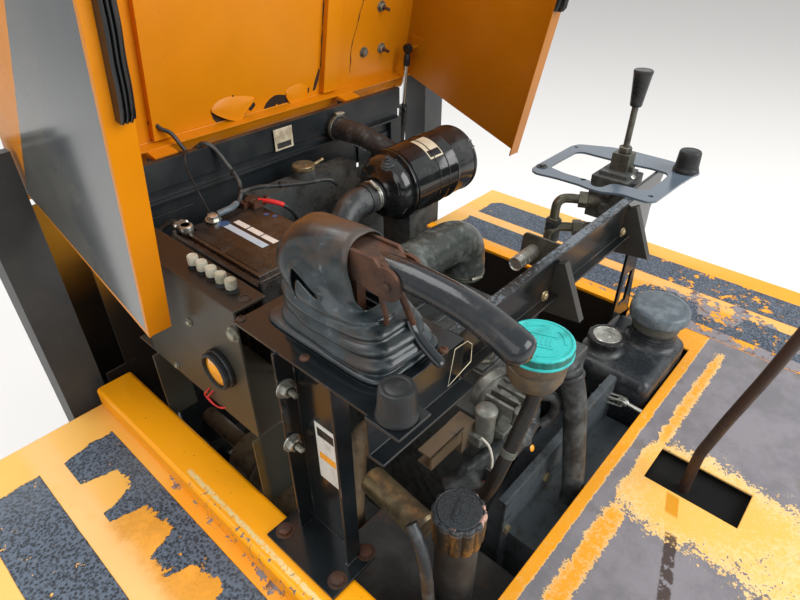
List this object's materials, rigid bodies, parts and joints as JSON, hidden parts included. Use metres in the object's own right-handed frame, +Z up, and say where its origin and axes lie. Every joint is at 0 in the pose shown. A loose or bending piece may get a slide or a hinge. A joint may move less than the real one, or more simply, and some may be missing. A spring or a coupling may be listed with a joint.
{
  "type": "site dumper engine bay section",
  "caption": "Rear body section of a small site dumper with its bonnet raised over the engine bay, beside the parking brake, controls and fillers.",
  "frame": {"origin": "underside of the middle cross member on the machine's centreline, flush with the bottom of the chassis rails", "axes": "+X to the machine's left, +Y to its rear, +Z up"},
  "size_m": [1.712, 1.357, 1.7384],
  "materials": {
    "yellow_paint": "satin",
    "chassis_paint": "matte",
    "frame_paint": "satin",
    "post_paint": "satin",
    "black_paint": "gloss",
    "gate_steel": "satin",
    "box_paint": "satin",
    "bare_steel": "worn",
    "rod_chrome": "polished",
    "zinc_casting": "cast",
    "black_rubber": "matte",
    "grey_rubber": "matte",
    "gaiter_rubber": "satin",
    "battery_case": "gloss",
    "black_plastic": "matte",
    "turquoise_plastic": "gloss",
    "engine_casting": "cast",
    "radiator_black": "matte",
    "exhaust_skin": "heat stained"
  },
  "bodies": {
    "body": {"chassis_rails": "chassis_paint", "cross_members": "chassis_paint", "side_walls": "yellow_paint", "bulkhead_plates": "yellow_paint", "deck_right": "yellow_paint", "deck_left": "yellow_paint", "deck_gussets": "yellow_paint", "front_plate": "yellow_paint", "bay_ribs": "yellow_paint", "rear_crossbeam": "chassis_paint", "roll_posts": "post_paint", "frame_posts": "frame_paint", "frame_beam": "frame_paint", "rear_grille": "frame_paint", "console_post": "black_paint", "console_top": "black_paint", "brake_lever": "bare_steel", "brake_grip": "black_rubber", "brake_gaiter": "gaiter_rubber", "cross_beam": "black_paint", "far_bracket": "black_paint", "gate_plate": "gate_steel", "rubber_buffers": "black_rubber", "control_valve": "zinc_casting", "skip_lever": "zinc_casting", "selector_lever": "bare_steel", "battery_box": "box_paint", "battery": "battery_case", "engine_block": "engine_casting", "transmission": "engine_casting", "radiator": "radiator_black", "air_cleaner": "black_paint", "air_hoses": "black_rubber", "rubber_elbow": "grey_rubber", "coolant_hose": "black_rubber", "plastic_tank": "black_plastic", "fuel_tank": "chassis_paint", "filler_caps": "black_plastic", "oil_filler": "turquoise_plastic", "exhaust": "exhaust_skin"},
    "bonnet": {"bonnet_top": "yellow_paint", "bonnet_side_right": "yellow_paint", "bonnet_side_left": "yellow_paint", "bonnet_seals": "black_rubber"},
    "strut_tube": {"strut_tube": "black_paint"},
    "strut_rod": {"strut_rod": "rod_chrome"},
    "fan": {"radiator_fan": "black_plastic"}
  },
  "joints": [
    {"name": "bonnet_hinge", "type": "hinge", "parent": "body", "child": "bonnet", "pos_m": [0, 0.474, 0.94], "axis": [1, 0, 0], "range_deg": [0, 78.7]},
    {"name": "strut_swing", "type": "hinge", "parent": "body", "child": "strut_tube", "pos_m": [0.456, 0.505, 0.67], "axis": [1, 0, 0], "range_deg": [0, 19]},
    {"name": "strut_slide", "type": "slide", "parent": "strut_tube", "child": "strut_rod", "axis": [0, -0.108, 0.9942], "range_m": [-0.062, 0]},
    {"name": "fan_spin", "type": "hinge", "parent": "body", "child": "fan", "pos_m": [0, 0.3, 0.545], "axis": [0, 1, 0], "continuous": true}
  ],
  "couplings": [
    {"joint": "strut_swing", "follows": "bonnet_hinge", "ratio": 0.2324},
    {"joint": "strut_slide", "follows": "bonnet_hinge", "m_per_rad": -0.0444}
  ]
}
